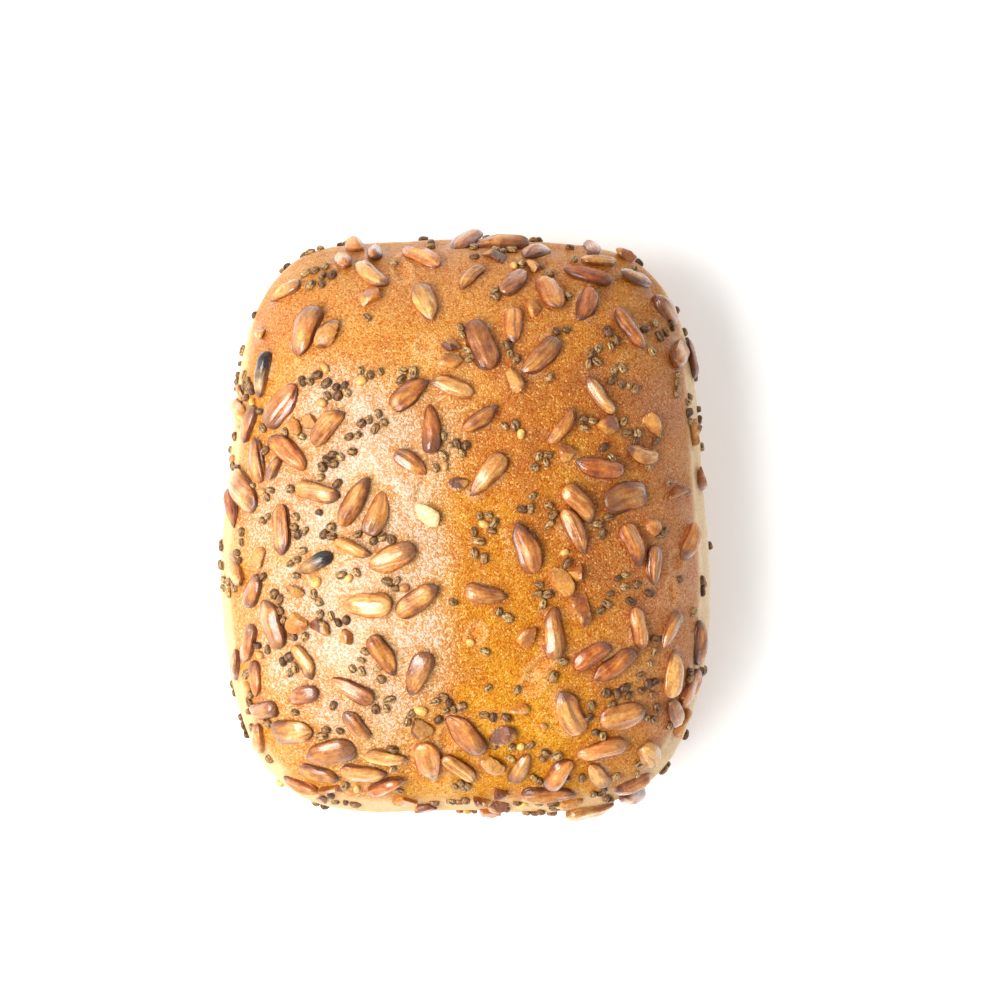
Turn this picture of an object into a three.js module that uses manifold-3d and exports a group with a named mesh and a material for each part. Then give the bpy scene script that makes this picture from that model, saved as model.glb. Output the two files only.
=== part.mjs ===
// A seeded bread roll, cut square and baked free-standing: one solid loaf whose crust is
// strewn with sunflower kernels, chips of kernel and small dark grains, all baked on.
// Millimetres, +Z up. The origin is the middle of the flat foot, and +Y points to the
// roll's narrower end.

import * as THREE from 'three';
import { mergeVertices } from 'three/addons/utils/BufferGeometryUtils.js';
import Module from 'manifold-3d';

const wasm = await Module();
wasm.setup();

const { abs, acos, cos, exp, max, min, sin, PI } = Math;

// ---- The dough ----------------------------------------------------------------------

const dough = {
	halfWidth: 45.8, // at the girth, the roll's widest level
	halfLength: 54.2,
	height: 48,
	girth: 17, // how high the widest level lies
	foot: 0.86, // the flat foot's size, as a share of the girth's
	cornerPower: 5.2, // superellipse powers of the plan: squarish at the girth,
	crownPower: 2.5, // rounder towards the crown
	domePower: 2.5, // powers of the upright section, above and below the girth
	shoulderPower: 2.05,
	footPower: 2.3,
	taper: 0.032, // how much narrower the far end is than the middle
	belly: 0.127, // how much the long sides bow out
	endBulge: 0.01, // and the short sides
	wobble: 0.0084, // unevenness of the plan
	lump: 0.55, // height of the slow swells on the crown
	creaseDepth: 0.014, // the fold low on the sides, where the crust tore a little
	creaseLevel: 1.32, // its place on the section, in radians from the crown
	creaseWidth: 0.075,
	sides: 44, // facets round the plan
};

// Where the crease shows: all along the right side, fading out on the left.
const creaseShows = (turn) => 0.35 + 0.65 * cos(0.5 * (turn + 0.35)) ** 2;

// A point of the crust. turn goes round the plan; fall is 0 at the crown, PI / 2 at the
// girth and PI at the rim of the foot.
function crustPoint(turn, fall) {
	const above = fall <= PI / 2;
	const share = above ? sin(fall) : abs(cos(fall));
	let reach, z;
	if (above) {
		reach = share;
		const rise = (1 - share ** dough.domePower) ** (1 / dough.shoulderPower);
		z = dough.girth + (dough.height - dough.girth) * rise;
	} else {
		const tuck = (1 - share ** dough.footPower) ** (1 / dough.footPower);
		reach = dough.foot + (1 - dough.foot) * tuck;
		z = dough.girth * (1 - share);
	}
	const fold = (fall - dough.creaseLevel) / dough.creaseWidth;
	reach *= 1 - dough.creaseDepth * creaseShows(turn) * exp(-fold * fold);
	reach *= 1 - dough.wobble * reach * (sin(7 * turn + 0.3) + 0.5 * sin(5 * turn + 0.25));
	const power = dough.crownPower + (dough.cornerPower - dough.crownPower) * reach * reach;
	const squared = (abs(cos(turn)) ** power + abs(sin(turn)) ** power) ** (-1 / power);
	const across = reach * squared * cos(turn);
	const along = reach * squared * sin(turn);
	const x = dough.halfWidth * across * (1 - dough.taper * along - dough.belly * along * along);
	const y = dough.halfLength * along * (1 - dough.endBulge * across * across);
	const swell = sin(x / 11 + 0.8) * sin(y / 14 - 0.5) + 0.6 * sin(x / 19 - y / 9);
	return new THREE.Vector3(x, y, z + dough.lump * swell * (z / dough.height) ** 2);
}

// The crust's outward direction there, square to the steps along turn and fall.
function crustNormal(turn, fall) {
	const step = 0.01;
	const round = crustPoint(turn + step, fall).sub(crustPoint(turn - step, fall));
	const down = crustPoint(turn, fall + step).sub(crustPoint(turn, max(fall - step, 0)));
	return down.cross(round).normalize();
}

// ---- Closed meshes of rings -----------------------------------------------------------

// A closed surface from a first tip, through rings of equally many points, to a last tip.
// Seen from the first tip, the points of a ring run anticlockwise.
function ringSolid(firstTip, rings, lastTip) {
	const points = [firstTip, ...rings.flat(), lastTip];
	const sides = rings[0].length;
	const last = points.length - 1;
	const index = [];
	for (let side = 0; side < sides; side++) {
		const next = (side + 1) % sides;
		index.push(0, 1 + side, 1 + next);
		for (let ring = 1; ring < rings.length; ring++) {
			const upper = 1 + (ring - 1) * sides;
			const lower = 1 + ring * sides;
			index.push(upper + side, lower + side, lower + next);
			index.push(upper + side, lower + next, upper + next);
		}
		const rim = 1 + (rings.length - 1) * sides;
		index.push(last, rim + next, rim + side);
	}
	const geometry = new THREE.BufferGeometry().setFromPoints(points);
	geometry.setIndex(index);
	return geometry;
}

// A closed surface over open rings, each running from the right rim to the left seen along
// the way from one tip to the other, and drawn in underneath to one root.
function rootedDrop(firstTip, rings, lastTip, root) {
	const corners = rings[0].length;
	const points = [firstTip, ...rings.flat(), lastTip, root];
	const last = points.length - 2;
	const deep = points.length - 1;
	const corner = (ring, side) => 1 + ring * corners + side;
	const index = [];
	for (let side = 0; side < corners - 1; side++) {
		index.push(0, corner(0, side), corner(0, side + 1));
		for (let ring = 1; ring < rings.length; ring++) {
			const [upper, lower] = [corner(ring - 1, side), corner(ring, side)];
			index.push(upper, lower, lower + 1, upper, lower + 1, upper + 1);
		}
		index.push(last, corner(rings.length - 1, side + 1), corner(rings.length - 1, side));
	}
	const rightRim = rings.map((_, ring) => corner(ring, 0));
	const leftRim = rings.map((_, ring) => corner(ring, corners - 1)).reverse();
	const rim = [0, ...rightRim, last, ...leftRim];
	rim.forEach((from, place) => index.push(deep, rim[(place + 1) % rim.length], from));
	const geometry = new THREE.BufferGeometry().setFromPoints(points);
	geometry.setIndex(index);
	return geometry;
}

function solidOf(geometry) {
	const merged = mergeVertices(geometry, 1e-4);
	return new wasm.Manifold(new wasm.Mesh({
		numProp: 3,
		vertProperties: merged.attributes.position.array,
		triVerts: new Uint32Array(merged.index.array),
	}));
}

function loaf() {
	// Levels of the section: evenly down the dome, with the crease's three, then the tuck.
	const falls = [0.08, 0.25, 0.45, 0.65, 0.85, 1.03, 1.17];
	falls.push(dough.creaseLevel - dough.creaseWidth, dough.creaseLevel);
	falls.push(dough.creaseLevel + dough.creaseWidth, PI / 2, 1.95, 2.3, 2.7, PI);
	const rings = falls.map((fall) => Array.from({ length: dough.sides }, (_, side) =>
		crustPoint((side * 2 * PI) / dough.sides, fall)));
	return ringSolid(crustPoint(0, 0), rings, new THREE.Vector3(0, 0, 0));
}

// ---- What is strewn on it -------------------------------------------------------------

const flatBack = [[-1, 0], [-0.5, 1], [0.5, 1], [1, 0]];
const ridgeBack = [[-1, 0], [0, 1], [1, 0]];

const kernel = {
	count: 106, length: 8.6, width: 3.9,
	back: flatBack, // the section over the rim: across and up, as shares
	stations: [-0.66, 0.36], // sections between the blunt end and the point
	stand: 1.55, // how high its back stands above the crust
	rim: 0.25, // how high its sharp rim lies
	uneven: 0.2, // share by which sizes differ
	tilt: 0.12, // radians
};

const chip = {
	count: 46, length: 4.3, width: 3.1, back: ridgeBack, stations: [-0.85, 0.6],
	stand: 1.4, rim: 0.15, uneven: 0.3, tilt: 0.25,
};

const grain = {
	count: 170, length: 2, width: 1.5, back: flatBack, stations: [0],
	stand: 0.85, rim: 0.1, uneven: 0.15, tilt: 0.2,
	clump: 5, // at most this many lie together
	stray: 0.036, // how far apart in a clump, in radians
};

// Patches of the crust that stayed barer, or caught more: middle, radius in millimetres
// and the shares by which the kernels and the grains change there.
const patches = [
	{ x: 4, y: -17, radius: 14, kernels: -0.8, grains: -0.5 },
	{ x: -8, y: 38, radius: 11, kernels: -0.7, grains: -0.4 },
	{ x: 29, y: 24, radius: 9, kernels: -0.7, grains: 0.3 },
	{ x: 26, y: -42, radius: 17, kernels: 0.9, grains: 0.6 },
	{ x: 36, y: -22, radius: 13, kernels: 0.5, grains: 0.6 },
	{ x: -35, y: 6, radius: 18, kernels: 0.6, grains: 0.8 },
	{ x: -33, y: -36, radius: 16, kernels: 0.5, grains: 0.6 },
];

// Even random numbers from 0 to 1: each is 48271 times the last, modulo 2^31 - 1.
let drawn = 1443479807;
function draw() {
	drawn = (drawn * 48271) % 2147483647;
	return drawn / 2147483647;
}
const spread = (share) => 1 + share * (2 * draw() - 1);

// How likely a topping is to have stayed at a point, from 0 to 1: all kinds by the patches,
// and kernels less where the sides are steep, above all the long ones.
function patchShare(which, at) {
	let share = 0.5;
	for (const patch of patches) {
		const far = ((at.x - patch.x) ** 2 + (at.y - patch.y) ** 2) / patch.radius ** 2;
		share *= 1 + patch[which] * exp(-far);
	}
	return share;
}

function kernelsHold(at, fall) {
	const steep = min(1, 0.12 + 1.65 * cos(fall));
	const flank = 0.65 * (at.x / dough.halfWidth) ** 6;
	return patchShare('kernels', at) * steep * (1 - flank);
}

function grainsHold(at, fall) {
	const steep = min(1, 0.25 + 1.3 * cos(fall));
	const flank = 0.5 * (at.x / dough.halfWidth) ** 6;
	return patchShare('grains', at) * steep * (1 - flank);
}

// Spots already taken, each a point and how far it reaches.
const taken = [];
const free = (spots, reach) => spots.every((spot) =>
	taken.every((other) => other.at.distanceTo(spot) >= other.reach + reach));

// A random place on the crust: its point and a frame with `up` out of the crust and
// `along` at a random turn. Toppings fall on the crown and on the sides to `lowest`.
function randomPlace(lowest) {
	const turn = 2 * PI * draw();
	const fall = acos(1 - (1 + lowest) * draw());
	return { turn, fall, heading: 2 * PI * draw() };
}

function frameAt({ turn, fall, heading }) {
	const at = crustPoint(turn, fall);
	const up = crustNormal(turn, fall);
	const level = new THREE.Vector3(-up.y, up.x, 0);
	if (level.length() < 1e-6) level.set(1, 0, 0);
	level.normalize();
	const along = level.applyAxisAngle(up, heading);
	return { at, up, along };
}

// Half the breadth of a drop at a station from -1 to 1, as a share of the widest: well
// rounded behind its widest station, and drawn out to a point in front of it.
function dropGirth(station) {
	const widest = -0.3;
	if (station < widest) {
		return (1 - ((widest - station) / (1 + widest)) ** 2.3) ** 0.5;
	}
	return (1 - ((station - widest) / (1 - widest)) ** 2.4) ** 0.8;
}

// A baked-on piece stood in its frame: a flattened drop, blunt behind and pointed in front,
// with a root below its rim that the crust hides.
function pieceSolid(kind, { at, up, along }, size) {
	const nod = kind.tilt * (2 * draw() - 1);
	const roll = kind.tilt * (2 * draw() - 1);
	const out = up.clone().applyAxisAngle(along, roll);
	const across = new THREE.Vector3().crossVectors(out, along).normalize();
	const ahead = along.clone().applyAxisAngle(across, nod);
	const above = new THREE.Vector3().crossVectors(ahead, across);
	const place = (a, b, c) => at.clone()
		.addScaledVector(up, kind.rim)
		.addScaledVector(ahead, a * size.length / 2)
		.addScaledVector(across, b * size.width / 2)
		.addScaledVector(above, c * size.height);
	const rings = kind.stations.map((station) => {
		const girth = dropGirth(station);
		return kind.back.map(([b, c]) => place(station, girth * b, girth * c));
	});
	return solidOf(rootedDrop(place(-1, 0, 0), rings, place(1, 0, 0), place(0, 0, -1)));
}

const sizeOf = (kind) => {
	const all = spread(kind.uneven);
	return {
		length: kind.length * all,
		width: kind.width * all * spread(kind.uneven / 2),
		height: (kind.stand - kind.rim) * all,
	};
};

// Kernels and chips lie apart, each kept clear by three spots along its length.
function strew(kind, lowest) {
	const pieces = [];
	while (pieces.length < kind.count) {
		const place = randomPlace(lowest);
		const keep = draw();
		const frame = frameAt(place);
		if (keep > kernelsHold(frame.at, place.fall)) continue;
		const size = sizeOf(kind);
		const reach = 0.42 * size.width;
		const step = 0.5 * size.length - reach;
		const spots = [-1, 0, 1].map((way) => frame.at.clone().addScaledVector(frame.along, way * step));
		if (!free(spots, reach)) continue;
		taken.push(...spots.map((at) => ({ at, reach })));
		pieces.push(pieceSolid(kind, frame, size));
	}
	return pieces;
}

const kernels = strew(kernel, 0.12);
const chips = strew(chip, 0.12);

// Grains lie in clumps: each clump starts at a random place, and wanders on from there.
function strewGrains() {
	const pieces = [];
	while (pieces.length < grain.count) {
		let place = randomPlace(0.2);
		if (draw() > grainsHold(crustPoint(place.turn, place.fall), place.fall)) continue;
		const members = 1 + Math.floor(grain.clump * draw() ** 1.5);
		for (let member = 0; member < members && pieces.length < grain.count; member++) {
			const frame = frameAt(place);
			const size = sizeOf(grain);
			const reach = 0.45 * size.width;
			if (free([frame.at], reach)) {
				taken.push({ at: frame.at, reach });
				pieces.push(pieceSolid(grain, frame, size));
			}
			const stepTo = 2 * PI * draw();
			place = {
				turn: place.turn + (grain.stray * cos(stepTo)) / sin(place.fall),
				fall: place.fall + grain.stray * sin(stepTo),
				heading: 2 * PI * draw(),
			};
		}
	}
	return pieces;
}

const grains = strewGrains();

// ---- The roll -------------------------------------------------------------------------

// All of it baked into one solid. Slivers shorter than a hair's breadth are closed up,
// and of what comes out only the loaf itself is kept.
const baked = wasm.Manifold.union([solidOf(loaf()), ...kernels, ...chips, ...grains])
	.simplify(0.01)
	.decompose()
	.sort((one, other) => other.volume() - one.volume())[0];

function geometryOf(solid) {
	const { numProp, vertProperties, triVerts } = solid.getMesh();
	const geometry = new THREE.BufferGeometry();
	const points = new THREE.InterleavedBuffer(vertProperties, numProp);
	geometry.setAttribute('position', new THREE.InterleavedBufferAttribute(points, 3, 0));
	geometry.setIndex(new THREE.BufferAttribute(triVerts, 1));
	geometry.computeVertexNormals();
	return geometry;
}

const crustMaterial = new THREE.MeshStandardMaterial({
	color: 0xc98a45, // golden brown
	roughness: 0.45,
	metalness: 0,
});

const roll = new THREE.Mesh(geometryOf(baked), crustMaterial);
roll.name = 'roll';

const breadRoll = new THREE.Group();
breadRoll.add(roll);

export default breadRoll;
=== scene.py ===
import bpy
import numpy as np
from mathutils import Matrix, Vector


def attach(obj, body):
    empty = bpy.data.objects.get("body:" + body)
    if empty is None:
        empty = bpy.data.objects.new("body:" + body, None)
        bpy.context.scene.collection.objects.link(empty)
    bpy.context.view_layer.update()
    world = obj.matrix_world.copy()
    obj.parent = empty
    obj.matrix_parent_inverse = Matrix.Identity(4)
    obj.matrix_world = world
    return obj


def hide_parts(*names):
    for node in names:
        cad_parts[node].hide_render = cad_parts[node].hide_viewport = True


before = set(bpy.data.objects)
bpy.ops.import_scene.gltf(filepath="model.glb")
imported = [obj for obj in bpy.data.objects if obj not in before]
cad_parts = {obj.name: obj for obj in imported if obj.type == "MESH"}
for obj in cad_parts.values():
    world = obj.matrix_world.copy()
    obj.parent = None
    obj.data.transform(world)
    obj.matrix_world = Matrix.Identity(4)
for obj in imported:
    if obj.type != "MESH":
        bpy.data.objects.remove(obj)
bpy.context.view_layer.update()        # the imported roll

# A seeded bread roll: a square-cut roll baked free-standing, its glazed crust strewn with
# sunflower kernels, chips of kernel, small dark seeds and a few pale ones.
# Lengths in the dictionaries are millimetres, and the meshes are made in metres. Colours
# are red, green and blue as seen on a screen, 0 to 255, and those of a ramp stand after
# their place on it. A coat of paint is its strongest share and then its colour.
mm = 0.001
pi = np.pi


# helpers for meshes and materials

def linearColour(red, green, blue):
    # a colour as seen on a screen, in the renderer's own light values
    share = np.array([red, green, blue]) / 255
    light = np.where(share <= 0.04045, share / 12.92, ((share + 0.055) / 1.055) ** 2.4)
    return (*light.tolist(), 1.0)


def addObject(name, data, at=(0, 0, 0)):
    item = bpy.data.objects.new(name, data)
    item.location = Vector(at) * mm
    bpy.context.collection.objects.link(item)
    return item


def makePiece(name, points, faceSets, material, values, uv=None, rounded=True):
    # points in mm; each face set holds quads or triangles; values are floats on the
    # points, and uv is a flat map of them
    mesh = bpy.data.meshes.new(name)
    corners = np.concatenate([faces.ravel() for faces in faceSets])
    sizes = np.concatenate([np.full(len(faces), faces.shape[1]) for faces in faceSets])
    starts = np.concatenate([[0], np.cumsum(sizes)[:-1]])
    mesh.vertices.add(len(points))
    mesh.vertices.foreach_set("co", (points * mm).astype(np.float32).ravel())
    mesh.loops.add(len(corners))
    mesh.loops.foreach_set("vertex_index", corners.astype(np.int32))
    mesh.polygons.add(len(sizes))
    mesh.polygons.foreach_set("loop_start", starts.astype(np.int32))
    mesh.polygons.foreach_set("use_smooth", np.full(len(sizes), rounded))
    for label, each in values.items():
        layer = mesh.attributes.new(label, "FLOAT", "POINT")
        layer.data.foreach_set("value", each.astype(np.float32).ravel())
    if uv is not None:
        layer = mesh.uv_layers.new(name="skin")
        layer.data.foreach_set("uv", uv.reshape(-1, 2)[corners].astype(np.float32).ravel())
    mesh.update(calc_edges=True)
    mesh.validate()
    mesh.materials.append(material)
    piece = addObject(name, mesh)
    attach(piece, "root")
    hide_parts("roll")


def connect(tree, node, inputs):
    # gives each socket its value, or joins it to another node's output
    for key, value in inputs.items():
        if isinstance(value, bpy.types.NodeSocket):
            tree.links.new(value, node.inputs[key])
        else:
            node.inputs[key].default_value = value


def addNode(tree, kind, inputs=None, **settings):
    node = tree.nodes.new("ShaderNode" + kind)
    for key, value in settings.items():
        setattr(node, key, value)
    connect(tree, node, inputs or {})
    return node


def blend(tree, share, first, second, mode="MIX"):
    # either colour is a socket, or is written as red, green and blue
    first, second = [linearColour(*each) if isinstance(each, tuple) else each
                     for each in (first, second)]
    mix = addNode(tree, "Mix", {0: share, 6: first, 7: second},
                  data_type="RGBA", blend_type=mode)
    return mix.outputs[2]


def filtered(tree, colour, glass):
    # the colour as if seen through coloured glass
    return blend(tree, 1.0, colour, glass, "MULTIPLY")


def rescale(tree, value, low, high, newLow=0.0, newHigh=1.0):
    return addNode(tree, "MapRange", {
        "Value": value, "From Min": low, "From Max": high,
        "To Min": newLow, "To Max": newHigh}).outputs[0]


def ramp(tree, share, stops):
    node = addNode(tree, "ValToRGB", {0: share})
    marks = node.color_ramp.elements
    while len(marks) < len(stops):
        marks.new(0.5)
    for mark, (place, *colour) in zip(marks, stops):
        mark.position, mark.color = place, linearColour(*colour)
    return node.outputs[0]


def calculate(tree, operation, first, second=0.0, clamp=False):
    return addNode(tree, "Math", {0: first, 1: second},
                   operation=operation, use_clamp=clamp).outputs[0]


def plus(tree, first, second, clamp=False):
    return calculate(tree, "ADD", first, second, clamp)


def times(tree, first, second):
    return calculate(tree, "MULTIPLY", first, second)


def painted(tree, share, colour, paint):
    strongest, *pigment = paint
    return blend(tree, times(tree, share, strongest), colour, tuple(pigment))


def noiseAt(tree, place, scale, detail=3.0, roughness=0.5):
    node = addNode(tree, "TexNoise", {
        "Vector": place, "Scale": scale, "Detail": detail, "Roughness": roughness})
    return node.outputs["Fac"]


def swing(tree, noise, most):
    # noise keeps to about 0.3 to 0.7, which becomes a change of that much either way
    return rescale(tree, noise, 0.3, 0.7, -most, most)


def skinNoise(tree, stretch, scale, detail, roughness):
    # noise that follows a seed's own flat map, drawn out along the seed
    skin = addNode(tree, "UVMap", uv_map="skin").outputs[0]
    stretched = addNode(tree, "Mapping", {"Vector": skin, "Scale": (*stretch, 1.0)})
    return noiseAt(tree, stretched.outputs[0], scale, detail, roughness)


def bump(tree, height, strength, distance, under=None):
    # the distance is in mm, and under is the normal of a coarser bump
    inputs = {"Height": height, "Strength": strength, "Distance": distance * mm}
    if under is not None:
        inputs["Normal"] = under
    return addNode(tree, "Bump", inputs).outputs[0]


def readValue(tree, label):
    return addNode(tree, "Attribute", attribute_name=label).outputs["Fac"]


def newGroup(name, inputs, outputs):
    # a socket is its label, its kind and perhaps its usual value
    group = bpy.data.node_groups.new(name, "ShaderNodeTree")
    for way, sockets in (("INPUT", inputs), ("OUTPUT", outputs)):
        for label, kind, *value in sockets:
            socket = group.interface.new_socket(
                label, in_out=way, socket_type="NodeSocket" + kind)
            if value:
                socket.default_value = value[0]
    given, gives = group.nodes.new("NodeGroupInput"), group.nodes.new("NodeGroupOutput")
    return group, given.outputs, gives


def newMaterial(name):
    material = bpy.data.materials.new(name)
    material.use_nodes = True
    tree = material.node_tree
    tree.nodes.clear()
    surface = addNode(tree, "BsdfPrincipled")
    addNode(tree, "OutputMaterial", {0: surface.outputs[0]})
    place = addNode(tree, "TexCoord").outputs["Object"]
    return material, tree, surface, place


# the dough's form

dough = dict(
    halfWidth=45.8, halfLength=54.2,  # at the girth, the widest level
    height=48, girth=17,
    foot=0.86,  # the flat foot's share of the girth
    cornerPower=5.2, crownPower=2.5,  # how square the plan is, at the girth and crown
    domePower=2.5, shoulderPower=2.05, footPower=2.3,
    taper=0.032, belly=0.127, endBulge=0.01,
    wobble=0.0084, waves=[(7, 0.3, 1.0), (5, 0.25, 0.5)],  # times round, start and share
    lump=0.55,
    creaseDepth=0.014, creaseLevel=1.32, creaseWidth=0.075,  # the low fold in the sides
    creaseLeast=0.35, creaseTurn=0.35,  # shallowest on the left
)


def crustPoint(turn, fall):
    # The crust's point for a turn round the plan and a fall from the crown (0) through the
    # girth (pi / 2) to the foot's rim (pi). Above the girth the upright section is a
    # superellipse of the sine of the fall, below it a tucked-in one; the plan is a
    # superellipse too, squarer further out, with tapered, bowed and wavy sides.
    d = dough
    above = fall <= pi / 2
    share = np.where(above, np.sin(fall), np.abs(np.cos(fall)))
    rise = np.clip(1 - share ** d["domePower"], 0, None) ** (1 / d["shoulderPower"])
    tuck = np.clip(1 - share ** d["footPower"], 0, None) ** (1 / d["footPower"])
    reach = np.where(above, share, d["foot"] + (1 - d["foot"]) * tuck)
    z = np.where(above, d["girth"] + (d["height"] - d["girth"]) * rise,
                 d["girth"] * (1 - share))
    fold = (fall - d["creaseLevel"]) / d["creaseWidth"]
    least = d["creaseLeast"]
    shows = least + (1 - least) * np.cos(0.5 * (turn + d["creaseTurn"])) ** 2
    reach = reach * (1 - d["creaseDepth"] * shows * np.exp(-fold * fold))
    wave = sum(size * np.sin(often * turn + start) for often, start, size in d["waves"])
    reach = reach * (1 - d["wobble"] * reach * wave)
    power = d["crownPower"] + (d["cornerPower"] - d["crownPower"]) * reach * reach
    squared = (np.abs(np.cos(turn)) ** power + np.abs(np.sin(turn)) ** power) ** (-1 / power)
    across = reach * squared * np.cos(turn)
    along = reach * squared * np.sin(turn)
    x = d["halfWidth"] * across * (1 - d["taper"] * along - d["belly"] * along * along)
    y = d["halfLength"] * along * (1 - d["endBulge"] * across * across)
    swell = np.sin(x / 11 + 0.8) * np.sin(y / 14 - 0.5) + 0.6 * np.sin(x / 19 - y / 9)
    return np.stack([x, y, z + d["lump"] * swell * (z / d["height"]) ** 2], -1)


def unit(vectors):
    return vectors / np.maximum(np.linalg.norm(vectors, axis=-1, keepdims=True), 1e-12)


def crustNormal(turn, fall):
    # square to a small step round the plan and a small step down the section
    step = 0.01
    around = crustPoint(turn + step, fall) - crustPoint(turn - step, fall)
    down = (crustPoint(turn, np.minimum(fall + step, pi))
            - crustPoint(turn, np.maximum(fall - step, 0)))
    return unit(np.cross(down, around))


# where the seeds lie: the same draws as the solid's, so that they fall in its places

onTop = dict(
    lowest=0.12,  # how far below level the crust may face where one sticks
    hold=(0.12, 1.65),  # how well they stick where it is upright, and more if level
    flankLoss=0.65,  # share that the left and right flanks lose
    patchColumn=3,  # its column in the patches below
    room=0.42,  # share of its width that it keeps clear on each side
)
kernel = dict(count=106, length=8.6, width=3.9, thickness=2.7, lift=0.35, uneven=0.2,
              tilt=0.12, press=1.0, **onTop)
chip = dict(count=46, length=4.3, width=3.1, thickness=2.2, lift=0.3, uneven=0.3,
            tilt=0.25, press=0.7, **onTop)
grain = dict(count=420, length=2.0, width=1.5, thickness=1.35, lift=0.2, uneven=0.15,
             tilt=0.2, press=0.4, lowest=0.2, hold=(0.25, 1.3), flankLoss=0.5,
             patchColumn=4, room=0.45, clump=5, stray=0.036, paleShare=0.09)
patches = [  # x, y, radius, change in kernels and chips, change in grains
    (4, -17, 14, -0.8, -0.5), (-8, 38, 11, -0.7, -0.4), (29, 24, 9, -0.7, 0.3),
    (26, -42, 17, 0.9, 0.6), (36, -22, 13, 0.5, 0.6), (-35, 6, 18, 0.6, 0.8),
    (-33, -36, 16, 0.5, 0.6),
]
drawn, drawFactor, drawSize = 1443479807, 48271, 2147483647
takenAt, takenReach = np.empty((0, 3)), np.empty(0)


def draw():
    # an even random number from 0 to 1: each state is a fixed multiple of the last
    global drawn
    drawn = drawn * drawFactor % drawSize
    return drawn / drawSize


def spread(share):
    return 1 + share * (2 * draw() - 1)


def holds(kind, at, fall):
    # how likely a seed is to stick: half the time, less on steep crust, on the flanks and
    # in bare patches, and more in full ones
    share = 0.5
    for patch in patches:
        far = ((at[0] - patch[0]) ** 2 + (at[1] - patch[1]) ** 2) / patch[2] ** 2
        share *= 1 + patch[kind["patchColumn"]] * np.exp(-far)
    upright, level = kind["hold"]
    flank = kind["flankLoss"] * (at[0] / dough["halfWidth"]) ** 6
    return share * min(1, upright + level * np.cos(fall)) * (1 - flank)


def isFree(spots, reach):
    gaps = np.linalg.norm(takenAt[None] - spots[:, None], axis=2)
    return (gaps >= takenReach + reach).all()


def take(spots, reach):
    global takenAt, takenReach
    takenAt = np.vstack([takenAt, spots])
    takenReach = np.append(takenReach, np.full(len(spots), reach))


def frameAt(turn, fall, heading):
    # the point, the way out of the crust, and a way along it at that heading
    at, up = crustPoint(turn, fall), crustNormal(turn, fall)
    level = unit(np.array([-up[1], up[0], 0.0]))
    return at, up, level * np.cos(heading) + np.cross(up, level) * np.sin(heading)


def randomPlace(lowest):
    turn = 2 * pi * draw()
    fall = np.arccos(1 - (1 + lowest) * draw())
    return turn, fall, 2 * pi * draw()


def sizeOf(kind):
    scale = spread(kind["uneven"])
    return scale, kind["length"] * scale, kind["width"] * scale * spread(kind["uneven"] / 2)


def settle(kind, at, up, along, scale, length, width):
    # how one piece lies: rolled about its length and nodding a little
    nod = kind["tilt"] * (2 * draw() - 1)
    roll = kind["tilt"] * (2 * draw() - 1)
    out = up * np.cos(roll) + np.cross(along, up) * np.sin(roll)
    across = unit(np.cross(out, along))
    ahead = along * np.cos(nod) + np.cross(across, along) * np.sin(nod)
    return dict(at=at, up=up, ahead=ahead, across=across, above=np.cross(ahead, across),
                scale=scale, length=length, width=width)


def strew(kind):
    found = []
    while len(found) < kind["count"]:
        turn, fall, heading = randomPlace(kind["lowest"])
        keep = draw()
        at, up, along = frameAt(turn, fall, heading)
        if keep > holds(kind, at, fall):
            continue
        scale, length, width = sizeOf(kind)
        reach = kind["room"] * width
        spots = at + along * (0.5 * length - reach) * np.array([[-1], [0], [1]])
        if not isFree(spots, reach):
            continue
        take(spots, reach)
        found.append(settle(kind, at, up, along, scale, length, width))
    return found


def strewGrains(kind):
    # clumps: each starts at a random place, and wanders on from there
    found = []
    while len(found) < kind["count"]:
        turn, fall, heading = randomPlace(kind["lowest"])
        if draw() > holds(kind, crustPoint(turn, fall), fall):
            continue
        members = 1 + int(kind["clump"] * draw() ** 1.5)
        for _ in range(members):
            if len(found) >= kind["count"]:
                break
            at, up, along = frameAt(turn, fall, heading)
            scale, length, width = sizeOf(kind)
            reach = kind["room"] * width
            if isFree(at[None], reach):
                take(at[None], reach)
                found.append(settle(kind, at, up, along, scale, length, width))
            stepTo = 2 * pi * draw()
            turn, fall = (turn + kind["stray"] * np.cos(stepTo) / np.sin(fall),
                          fall + kind["stray"] * np.sin(stepTo))
            heading = 2 * pi * draw()
    return found


kernels = strew(kernel)
chips = strew(chip)
grains = strewGrains(grain)
look = np.random.default_rng(41)  # everything below that is random but not a place
pale = look.random(len(grains)) < grain["paleShare"]
darkGrains = [each for each, isPale in zip(grains, pale) if not isPale]
paleGrains = [each for each, isPale in zip(grains, pale) if isPale]
print("strewn:", len(kernels), "kernels,", len(chips), "chips,", len(darkGrains), "dark and",
      len(paleGrains), "pale seeds")


# shared finishes

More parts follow.
